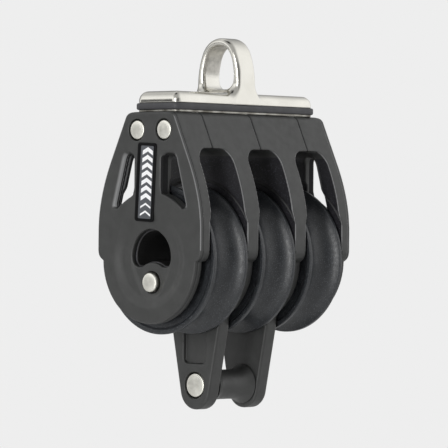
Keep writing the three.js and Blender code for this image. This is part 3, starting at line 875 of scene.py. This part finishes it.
def painted_edge_mask(nodes):
    """1 along the roundings of the outer cheeks' and slots' upright edges, where a painted highlight goes, 0
    elsewhere.
    """
    x, y, z = nodes.axes()
    facing = nodes.axes("Normal")
    slant = nodes.size(nodes.math("MULTIPLY", facing["X"], facing["Y"]))
    level = nodes.math("SUBTRACT", z, height(0))
    by_slot = nodes.less(level, SLOT_TOP * MM)
    by_face = nodes.more(nodes.size(y), (-FACE - 2 * REBATE) * MM)
    above = nodes.more(level, SHOULDER_FOOT * MM)
    beyond_dish = nodes.more(nodes.length(x, level), (DISH_RADIUS + SMALL_ROUND) * MM)
    aside = nodes.more(nodes.size(x), TOP_BEND * MM)
    edges = nodes.ramp(slant, 0.0, 1.0, (0.25, 0.45))
    return nodes.all_of(edges, nodes.math("MAXIMUM", by_slot, by_face), above, beyond_dish, aside)


def composite(name, dark, light, smooth, edge_highlight=None):
    """Moulded glass-filled nylon: fine grain, faint mottling and patchy gloss, with painted shade beside the
    sheaves, in the windows and along the parting line, and painted highlights on upright edges.
    """
    nodes = Material(name)
    shade = nodes.mottle(420, 5, dark, light)
    # Painted shade: a dark colour with a speckled grain for the walls beside the sheaves.
    inner = nodes.mottle(4200, 1, (0.016, 0.0155, 0.0185), (0.06, 0.06, 0.072), (0.58, 0.72))
    windows = window_walls(nodes)
    shade = nodes.mix(inner_wall_shade(nodes), shade, inner)
    # Painted shade: the window walls are coloured near-black.
    shade = nodes.mix(windows, shade, (0.009, 0.009, 0.01))
    # Painted highlight: a light colour along the roundings of the upright edges.
    if edge_highlight is not None:
        shade = nodes.mix(painted_edge_mask(nodes), shade, edge_highlight)
    # Painted shadow: a near-black hairline along the parting-line groove round an outer cheek's side.
    nodes.set("Base Color", nodes.mix(rebate_shade_line(nodes), shade, 0.006))
    haze = nodes.mottle(900, 3, smooth, 0.5, (0.35, 0.65))
    nodes.set("Roughness", nodes.mix(windows, haze, 0.95))
    nodes.bump(nodes.noise(3800, 2), 0.3, 0.00002)
    nodes.bump(nodes.noise(180, 2), 0.25, 0.00006)
    return nodes.material


def sheave_composite():
    """As the cheeks, bluer and with a sparkle of fine filler grains."""
    nodes = Material("sheave_composite")
    base = nodes.mottle(500, 4, (0.019, 0.021, 0.0235), (0.029, 0.032, 0.0355))
    grains = nodes.mottle(5200, 1, 0.0, 1.0, (0.58, 0.72))
    nodes.set("Base Color", nodes.mix(grains, base, (0.085, 0.09, 0.1)))
    nodes.set("Roughness", nodes.mottle(1500, 3, 0.3, 0.42, (0.35, 0.65)))
    nodes.bump(nodes.noise(4200, 2), 0.6, 0.00003)
    return nodes.material


def polished_stainless():
    """Mirror polish with faint waves left by the casting; darker and rougher inside the eye's hole."""
    nodes = Material("polished_stainless")
    nodes.set("Metallic", 1)
    hole_half_height = (EYE_HOLE_TOP - EYE_HOLE_FLOOR) / 2 * MM
    x, _, z = nodes.axes()
    across = nodes.math("DIVIDE", x, EYE_HOLE_HALF * MM)
    from_middle = nodes.math("SUBTRACT", z, height((EYE_HOLE_FLOOR + EYE_HOLE_TOP) / 2))
    reach = nodes.length(across, nodes.math("DIVIDE", from_middle, hole_half_height))
    # Inside the eye's hole the colour is darker and the roughness higher.
    hole_inside = nodes.ramp(nodes.math("MULTIPLY", reach, 0.5), 1.0, 0.0, (0.53, 0.59))
    tint = nodes.mottle(160, 3, (0.68, 0.665, 0.61), (0.76, 0.745, 0.69))
    dull = nodes.mottle(900, 4, (0.5, 0.49, 0.455), (0.72, 0.7, 0.655))
    nodes.set("Base Color", nodes.mix(hole_inside, tint, dull))
    haze = nodes.mottle(700, 4, 0.13, 0.2, (0.35, 0.65))
    nodes.set("Roughness", nodes.mix(hole_inside, haze, 0.5))
    nodes.bump(nodes.noise(150, 1), 0.12, 0.0002)
    return nodes.material


def rivet_stainless():
    """Turned steel: rings round the Y axis and highlights that fan out from the middle."""
    nodes = Material("rivet_stainless")
    nodes.set("Metallic", 1)
    nodes.set("Anisotropic", 0.6)
    tangent = nodes.node("Tangent")
    tangent.direction_type = "RADIAL"
    tangent.axis = "Y"
    nodes.set("Tangent", tangent.outputs["Tangent"])
    nodes.set("Base Color", nodes.mottle(900, 3, (0.78, 0.77, 0.7), (0.87, 0.86, 0.79)))
    nodes.set("Roughness", nodes.mottle(2500, 3, 0.3, 0.42))
    box = nodes.axes("Generated")
    radius = nodes.length(*[nodes.math("SUBTRACT", box[axis], 0.5) for axis in ("X", "Z")])
    rings = nodes.math("SINE", nodes.math("MULTIPLY", radius, RIVET_RINGS * 4 * math.pi))
    nodes.bump(rings, 0.3, 0.00001)
    nodes.bump(nodes.noise(2600, 2), 0.25, 0.00002)
    return nodes.material


def shim_stainless():
    """Thin rolled sheet under the pad, dull and stained at its edge."""
    nodes = Material("shim_stainless")
    nodes.set("Metallic", 1)
    nodes.set("Base Color", nodes.mottle(380, 4, (0.16, 0.15, 0.13), (0.46, 0.45, 0.41), (0.35, 0.6)))
    nodes.set("Roughness", nodes.mottle(1500, 3, 0.34, 0.5))
    nodes.bump(nodes.noise(2200, 2), 0.25, 0.00002)
    return nodes.material


def pad_plastic():
    """Moulded satin plastic, a little lighter than the cheeks."""
    nodes = Material("pad_plastic")
    nodes.set("Base Color", nodes.mottle(400, 4, (0.045, 0.045, 0.049), (0.058, 0.058, 0.063)))
    nodes.set("Roughness", nodes.mottle(1100, 3, 0.48, 0.6, (0.35, 0.65)))
    nodes.bump(nodes.noise(3000, 2), 0.3, 0.00002)
    return nodes.material


def printed(name, dark, light, rough, gloss):
    """Printed film: an even ink with a slight mottle under a clear gloss."""
    nodes = Material(name)
    nodes.set("Specular IOR Level", gloss)
    nodes.set("Base Color", nodes.mottle(1200, 3, dark, light))
    nodes.set("Roughness", nodes.mottle(800, 2, rough - 0.04, rough + 0.04))
    nodes.bump(nodes.noise(600, 1), 0.1, 0.00003)
    return nodes.material


def acetal():
    """Polished off-white balls."""
    nodes = Material("acetal")
    nodes.set("Base Color", nodes.mottle(700, 3, (0.78, 0.76, 0.71), (0.84, 0.82, 0.78)))
    nodes.set("Roughness", nodes.mottle(900, 2, 0.25, 0.36))
    nodes.bump(nodes.noise(1500, 1), 0.1, 0.00002)
    return nodes.material


# The last colour is the painted highlight along the upright edges.
COMPOSITE = composite("black_composite", (0.033, 0.034, 0.033), (0.043, 0.044, 0.043), 0.4,
                      edge_highlight=(0.2, 0.202, 0.205))
HUB_COMPOSITE = composite("hub_composite", 0.014, 0.02, 0.42)
SHEAVE = sheave_composite()
POLISHED = polished_stainless()
RIVET = rivet_stainless()
SHIM = shim_stainless()
PAD = pad_plastic()
ACETAL = acetal()
FILM = printed("label_film", (0.003, 0.003, 0.0035), (0.0045, 0.0045, 0.005), 0.4, 0.08)
PANEL = printed("label_panel", (0.085, 0.09, 0.1), (0.1, 0.105, 0.115), 0.4, 0.2)
MARK = printed("label_mark", (0.86, 0.86, 0.87), (0.93, 0.93, 0.94), 0.45, 0.3)


# --- the object ---


def cheeks():
    for kind, field in (("outer", outer_cheek()), ("middle", middle_cheek())):
        low, high = cad_box(f"cheek_{kind}_near")
        points, quads, normals = skin(field, low, high)
        for side, turn in (("near", np.ones(3)), ("far", NEAR_TO_FAR)):
            node = f"cheek_{kind}_{side}"
            piece(f"{node}_shell", points * turn, quads, COMPOSITE, [node],
                  normals * turn)


def head():
    points, quads, normals = skin(head_eye(), PLATE_LOW, PLATE_HIGH, STEP * 0.6)
    piece("head_eye_cast", points, quads, POLISHED, ["head_eye"], normals)
    for node, low, high, material, slot in (
            ("head_pad", PAD_LOW, PAD_HIGH, PAD, "pad_plastic"),
            ("head_shim", SHIM_LOW, SHIM_HIGH, SHIM, "rivet_stainless")):
        edge = min(0.3, (high[2] - low[2]) / 4)
        easing = [(edge, 0), (edge * 0.3, edge * 0.3), (0, edge)]
        levels = [(inset, low[2] + rise) for inset, rise in easing]
        levels += [(inset, high[2] - drop) for inset, drop in easing[::-1]]
        points, faces = stacked(rounded_rectangle(high[0], high[1], PLATE_CORNER), levels)
        piece(f"{node}_sheet", points, faces, material, [node])


def rivets():
    """Rivets with a low-domed head at both ends."""
    rim, dome = 0.45, 0.12
    for node, shank, head_length in (
            ("head_rivet_left", SHANK_RADIUS, HEAD_LENGTH), ("head_rivet_right", SHANK_RADIUS, HEAD_LENGTH),
            ("hub_rivet", SHANK_RADIUS, HUB_HEAD_LENGTH), ("becket_rivet", BECKET_SHANK_RADIUS, HEAD_LENGTH)):
        low, high = cad_box(node)
        radius, half = cad_radius(node), high[1]
        neck = half - head_length
        side = [(0, half), (radius * 0.5, half - dome * 0.25), (radius - 0.3, half - dome),
                (radius, half - rim, 0.2), (radius, neck, 0.1), (shank, neck)]
        profile = [(r, -y, *rest) for r, y, *rest in side] + side[::-1]
        centre = ((low[0] + high[0]) / 2, 0, (low[2] + high[2]) / 2)
        points, faces, normals = turned(rounded_corners(profile), 64, centre, closed=False)
        piece(f"{node}_turned", points, faces, RIVET, [node], normals)


def sheave_profile():
    """Rope groove, rims, flanks set back from them, and a bore with a rib between the ball rows."""
    rim_width, rim_height, set_back, rib_half = 0.8, 0.9, 0.4, 0.5
    mouth = SHEAVE_HALF - rim_width
    depth = SHEAVE_RADIUS - GROOVE_FLOOR
    bend = (mouth ** 2 + depth ** 2) / (2 * depth)
    sweep = math.asin(mouth / bend)
    groove = [(GROOVE_FLOOR + bend - bend * math.cos(a), bend * math.sin(a))
              for a in np.linspace(-sweep, sweep, 25)]
    groove[0], groove[-1] = (*groove[0], 0.18), (*groove[-1], 0.18)
    flank, rim_foot = SHEAVE_HALF - set_back, SHEAVE_RADIUS - rim_height
    side = [(BORE_RADIUS, flank, 0.2), (rim_foot - set_back, flank, 0.15), (rim_foot, SHEAVE_HALF, 0.2),
            (SHEAVE_RADIUS, SHEAVE_HALF, 0.25)]
    rib = [(BORE_RADIUS, rib_half, 0.1), (RIB_RADIUS, rib_half, 0.1)]
    mirrored = [[(r, -y, corner) for r, y, corner in half] for half in (side, rib)]
    return rounded_corners(mirrored[0] + groove + side[::-1] + rib + mirrored[1][::-1])


def ball_row(centre_y):
    """Balls and the ring that spaces them."""
    pitch_radius = (BORE_RADIUS + HUB_RADIUS) / 2
    inner, outer, half, corner = pitch_radius - 0.35, pitch_radius + 0.35, 0.45, 0.12
    ring = [(inner, -half, corner), (outer, -half, corner), (outer, half, corner), (inner, half, corner)]
    points, faces, _ = turned(rounded_corners(ring, 2), 56, (0, centre_y, 0))
    points, faces = [points], list(faces)
    half_circle = [(BALL_RADIUS * math.cos(a), BALL_RADIUS * math.sin(a))
                   for a in np.linspace(-math.pi / 2, math.pi / 2, 13)]
    half_circle[0], half_circle[-1] = (0, -BALL_RADIUS), (0, BALL_RADIUS)
    for ball in range(BALLS_IN_ROW):
        angle = 2 * math.pi * ball / BALLS_IN_ROW
        centre = (pitch_radius * math.sin(angle), centre_y, pitch_radius * math.cos(angle))
        more, ball_faces, _ = turned(half_circle, 20, centre, closed=False)
        start = sum(len(p) for p in points)
        points.append(more)
        faces += [[start + k for k in face] for face in ball_faces]
    return np.concatenate(points), faces


def bearings():
    profile = sheave_profile()
    for position, seam in SEAMS.items():
        points, faces, normals = turned(profile, 160, (0, seam, 0))
        sheave = f"sheave_{position}"
        piece(f"{sheave}_wheel", points, faces, SHEAVE, [sheave], normals, sheave)
        for half, offset in (("a", -ROW_OFFSET), ("b", ROW_OFFSET)):
            node = f"ball_row_{position}_{half}"
            points, faces = ball_row(seam + offset)
            piece(f"{node}_balls", points, faces, ACETAL, [node], body=node)
        node = f"hub_{position}"
        low, high = cad_box(node)
        points, quads, normals = skin(hub(low[1], high[1]), low, high)
        piece(f"{node}_core", points, quads, HUB_COMPOSITE, [node], normals)


def becket():
    flange, half = SPOOL_HIGH[2] - BECKET_Z, SPOOL_HIGH[1]
    flare = flange - SPOOL_MIDDLE_RADIUS
    outer = [(SPOOL_MIDDLE_RADIUS + flare * (k / 10) ** SPOOL_FLARE_POWER, k / 10 * half)
             for k in range(-10, 11)]
    outer[0], outer[-1] = (*outer[0], 0.15), (*outer[-1], 0.15)
    profile = [(SPOOL_BORE, -half, 0.1), *outer, (SPOOL_BORE, half, 0.1)]
    points, faces, normals = turned(rounded_corners(profile), 80, (0, 0, BECKET_Z))
    piece("becket_spool_flared", points, faces, COMPOSITE, ["becket_spool"], normals,
          "becket_spool")
    low, high = cad_box("becket_sleeve")
    bore, wall = SLEEVE_BORE, cad_radius("becket_sleeve")
    tube = [(bore, low[1], 0.08), (wall, low[1], 0.08), (wall, high[1], 0.08), (bore, high[1], 0.08)]
    points, faces, normals = turned(rounded_corners(tube, 2), 48, (0, 0, BECKET_Z))
    piece("becket_sleeve_tube", points, faces, RIVET, ["becket_sleeve"], normals)


def on_label(points, near):
    """Stands a flat label drawing (u across, v up, height out) on the near or far cheek's face."""
    u, v, out = np.asarray(points, float).T
    middle = (LABEL_LOW[2] + LABEL_HIGH[2]) / 2
    x = u * math.cos(LABEL_TILT) - v * math.sin(LABEL_TILT) + LABEL_SHIFT
    z = u * math.sin(LABEL_TILT) + v * math.cos(LABEL_TILT) + middle
    placed = np.stack([x, FACE - out, z], axis=1)
    return placed if near else placed * NEAR_TO_FAR


def labels():
    """A dark film with a grey panel and a generic row of chevrons."""
    thickness = FACE - LABEL_LOW[1]
    film_top, panel_top, mark_top = 0.92 * thickness, 0.955 * thickness, 0.99 * thickness
    dome = [(0, 0), (0, 0.4), (0.06, 0.62), (0.2, 0.82), (0.45, 0.92)]
    levels = [(inset, share * thickness) for inset, share in dome]
    film = stacked(rounded_rectangle(LABEL_HALF, LABEL_HALF_HEIGHT, 0.6), levels)
    panel_half, panel_half_height, panel_shift = 1.75, LABEL_HALF_HEIGHT - 0.6, 0.25
    panel_points, panel_faces = stacked(rounded_rectangle(panel_half, panel_half_height, 0.25),
                                        [(0, film_top), (0.02, panel_top)])
    panel = (panel_points + np.array([panel_shift, 0, 0]), panel_faces)
    parts = [("film", film, FILM), ("panel", panel, PANEL)]
    arm, rise, pitch, marks = 1.4, 0.75, 1.52, 9
    row_x, row_top = panel_shift + 0.2, LABEL_HALF_HEIGHT - 1.7
    thick, thin, thick_marks = 0.85, 0.4, 7
    for k in range(marks):
        stroke = thick if k < thick_marks else thin
        foot = row_top - k * pitch - rise
        chevron = [(row_x - arm, foot), (row_x, foot + rise), (row_x + arm, foot),
                   (row_x + arm, foot + stroke), (row_x, foot + rise + stroke), (row_x - arm, foot + stroke)]
        parts.append((f"mark_{k + 1}", stacked(upright(chevron), [(0, panel_top), (0, mark_top)]), MARK))
    for position, near in (("near", True), ("far", False)):
        for name, (points, faces), material in parts:
            nodes = [f"label_{position}"] if name == "film" else []
            piece(f"label_{position}_{name}", on_label(points, near), faces, material, nodes)


# --- stage ---


PALE = 0.855
FLOOR_DROP = 0.4
FLOOR_HALF = 4.0

# How bright the room looks from the object: its even light, then for each lobe its direction,
# the cosines where the change starts and ends, and how much light it adds or takes away.
ROOM_LIGHT = 0.47
ROOM_LOBES = [
    ((0.68, 0.73, 0.0), 0.15, 0.85, 0.68),
    ((-0.68, -0.73, 0.0), 0.6, 0.95, 0.85),
    ((-1.0, 0.1, 0.0), 0.4, 0.9, -0.3),
    ((-0.68, -0.73, -0.02), 0.94, 0.995, -1.1),
    ((0.97, -0.26, 0.0), 0.75, 0.95, -0.4),
    ((-0.65, 0.0, 0.76), 0.8, 0.97, 0.35),
    ((-0.2, -0.12, 0.97), 0.93, 0.99, -0.5),
]


def pale_floor():
    level = cad_low[2] - FLOOR_DROP
    corners = [(x * FLOOR_HALF, y * FLOOR_HALF, level) for x, y in ((-1, -1), (1, -1), (1, 1), (-1, 1))]
    mesh = bpy.data.meshes.new("floor")
    mesh.from_pydata(corners, [], [(0, 1, 2, 3)])
    nodes = Material("pale_floor")
    nodes.set("Base Color", nodes.mottle(3, 2, 0.9, 0.92))
    mesh.materials.append(nodes.material)
    floor = bpy.data.objects.new("floor", mesh)
    bpy.context.scene.collection.objects.link(floor)


def studio():
    """A plain pale backdrop for the camera, and a room of soft light for the object."""
    scene = bpy.context.scene
    scene.view_settings.view_transform = "Standard"
    world = bpy.data.worlds.new("studio")
    world.use_nodes = True
    scene.world = world
    graph = Graph(world.node_tree)
    direction = graph.node("TexCoord").outputs["Generated"]
    glow = ROOM_LIGHT
    for toward, start, stop, amount in ROOM_LOBES:
        along = graph.node("VectorMath")
        along.operation = "DOT_PRODUCT"
        graph.feed(direction, along.inputs[0])
        graph.feed(Vector(toward).normalized(), along.inputs[1])
        spread = graph.node("MapRange")
        spread.interpolation_type = "SMOOTHSTEP"
        graph.feed(along.outputs["Value"], spread.inputs["Value"])
        for name, value in (("From Min", start), ("From Max", stop), ("To Min", 0), ("To Max", amount)):
            graph.feed(value, spread.inputs[name])
        glow = graph.math("ADD", glow, spread.outputs["Result"])
    room = graph.node("Background")
    graph.feed(glow, room.inputs["Color"])
    backdrop = graph.tree.nodes["Background"]
    graph.feed((PALE, PALE, PALE, 1), backdrop.inputs["Color"])
    blend = graph.node("MixShader")
    graph.feed(graph.node("LightPath").outputs["Is Camera Ray"], blend.inputs["Fac"])
    graph.feed(room.outputs["Background"], blend.inputs[1])
    graph.feed(backdrop.outputs["Background"], blend.inputs[2])
    graph.feed(blend.outputs["Shader"], graph.tree.nodes["World Output"].inputs["Surface"])


def area_light(name, place, target, size, power):
    light = bpy.data.lights.new(name, "AREA")
    light.shape = "RECTANGLE"
    light.size, light.size_y = size
    light.energy = power
    lamp = bpy.data.objects.new(name, light)
    lamp.location = place
    lamp.rotation_euler = (Vector(target) - Vector(place)).to_track_quat("-Z", "Y").to_euler()
    bpy.context.scene.collection.objects.link(lamp)


def camera():
    azimuth, elevation, roll = math.radians(42.978), math.radians(-0.038), math.radians(0.547)
    distance, lens, sensor = 0.723, 285.62, 36
    aim_left, aim_up = 0.236 * MM, 7.18 * MM
    right = Vector((math.cos(azimuth), math.sin(azimuth), 0))
    ahead = Vector((-math.sin(azimuth) * math.cos(elevation), math.cos(azimuth) * math.cos(elevation),
                    -math.sin(elevation)))
    up = right.cross(ahead)
    across = math.cos(roll) * right + math.sin(roll) * up
    upward = -math.sin(roll) * right + math.cos(roll) * up
    target = Vector(AXLE) - aim_left * right + Vector((0, 0, aim_up))
    data = bpy.data.cameras.new("camera")
    data.lens, data.sensor_width = lens, sensor
    data.clip_start, data.clip_end = 0.05, 20
    holder = bpy.data.objects.new("camera", data)
    turn = Matrix((across, upward, -ahead)).transposed().to_4x4()
    holder.matrix_world = Matrix.Translation(target - distance * ahead) @ turn
    bpy.context.scene.collection.objects.link(holder)
    bpy.context.scene.camera = holder


cheeks()
head()
rivets()
bearings()
becket()
labels()
pale_floor()
studio()
area_light("key", place=(0.22, -0.76, 0.02), target=(0, 0, -0.04), size=(0.12, 0.6), power=2.6)
camera()
